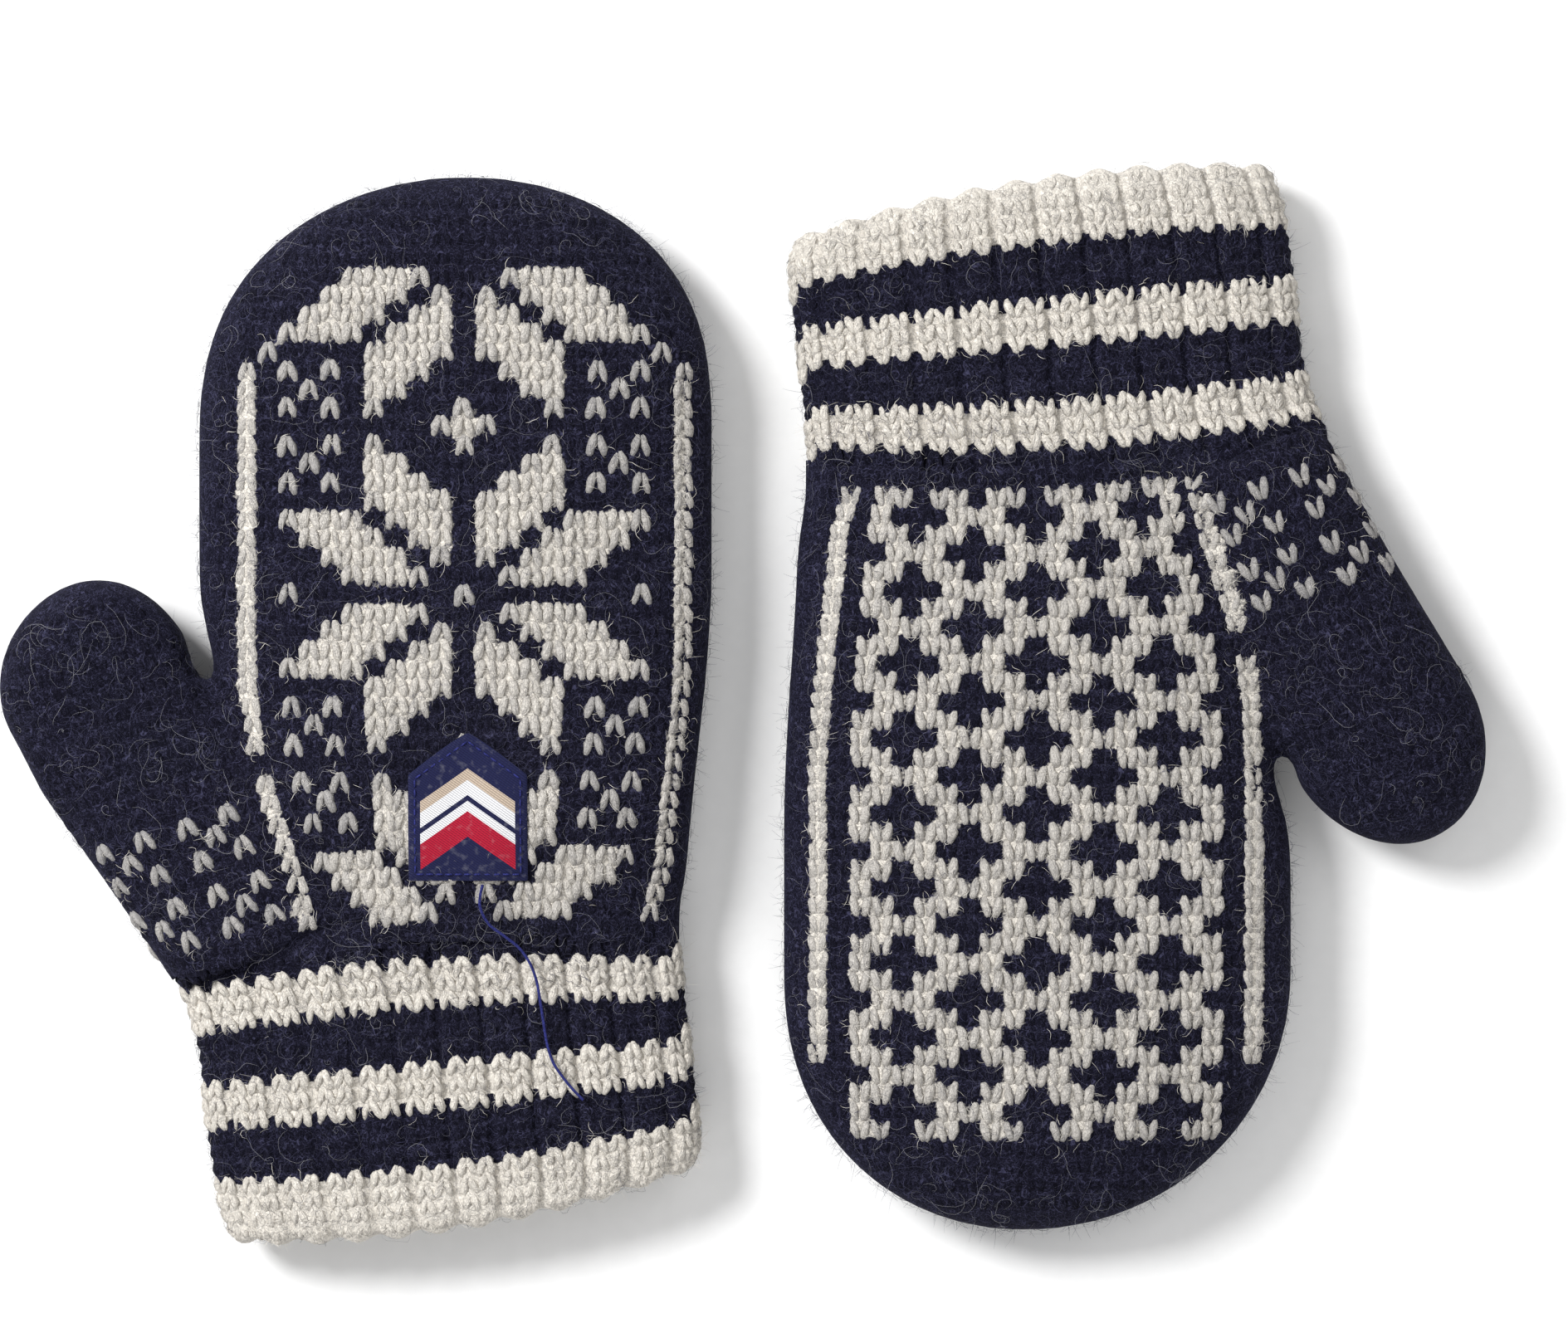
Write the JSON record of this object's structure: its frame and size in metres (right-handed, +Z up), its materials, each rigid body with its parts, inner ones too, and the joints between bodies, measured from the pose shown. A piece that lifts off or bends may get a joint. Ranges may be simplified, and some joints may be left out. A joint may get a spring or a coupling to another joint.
{
  "type": "knitted mittens",
  "caption": "Pair of felted wool mittens with a two-colour knitted pattern, striped ribbed cuffs, set-in thumbs, fleece linings and a small woven label.",
  "frame": {"origin": "on the surface that the pair lies on, under the middle of its box", "axes": "+X across the pair from the right mitten to the left one, +Y along the fingers of the right mitten, +Z up from the surface"},
  "size_m": [0.3065, 0.216, 0.0278],
  "materials": {
    "navy_wool": "felted knitted wool, navy, with cream pattern stitches",
    "cream_wool": "felted ribbed wool, cream",
    "fleece": "brushed polyester fleece, dark grey",
    "woven_label": "woven polyester damask",
    "sewing_thread": "twisted polyester thread"
  },
  "bodies": {
    "right_hand": {"right_hand_shell": "navy_wool", "right_hand_lining": "fleece", "right_cuff_rib": "navy_wool", "right_cuff_edge": "cream_wool", "woven_label": "woven_label", "label_stitching": "sewing_thread", "label_thread": "sewing_thread"},
    "right_thumb": {"right_thumb_shell": "navy_wool", "right_thumb_lining": "fleece"},
    "left_hand": {"left_hand_shell": "navy_wool", "left_hand_lining": "fleece", "left_cuff_rib": "navy_wool", "left_cuff_edge": "cream_wool"},
    "left_thumb": {"left_thumb_shell": "navy_wool", "left_thumb_lining": "fleece"}
  },
  "joints": [
    {"name": "right_thumb_swing", "type": "hinge", "parent": "right_hand", "child": "right_thumb", "pos_m": [-0.12382, -0.0082, 0.012], "axis": [0, 0, 1], "range_deg": [-18, 12], "stiffness_Nm_per_rad": 0.02},
    {"name": "left_mitten_lift", "type": "slide", "parent": "right_hand", "child": "left_hand", "axis": [0, 0, 1], "range_m": [0, 0.15]},
    {"name": "left_thumb_swing", "type": "hinge", "parent": "left_hand", "child": "left_thumb", "pos_m": [0.12707, 0.00482, 0.012], "axis": [0, 0, 1], "range_deg": [-18, 12], "stiffness_Nm_per_rad": 0.02}
  ]
}
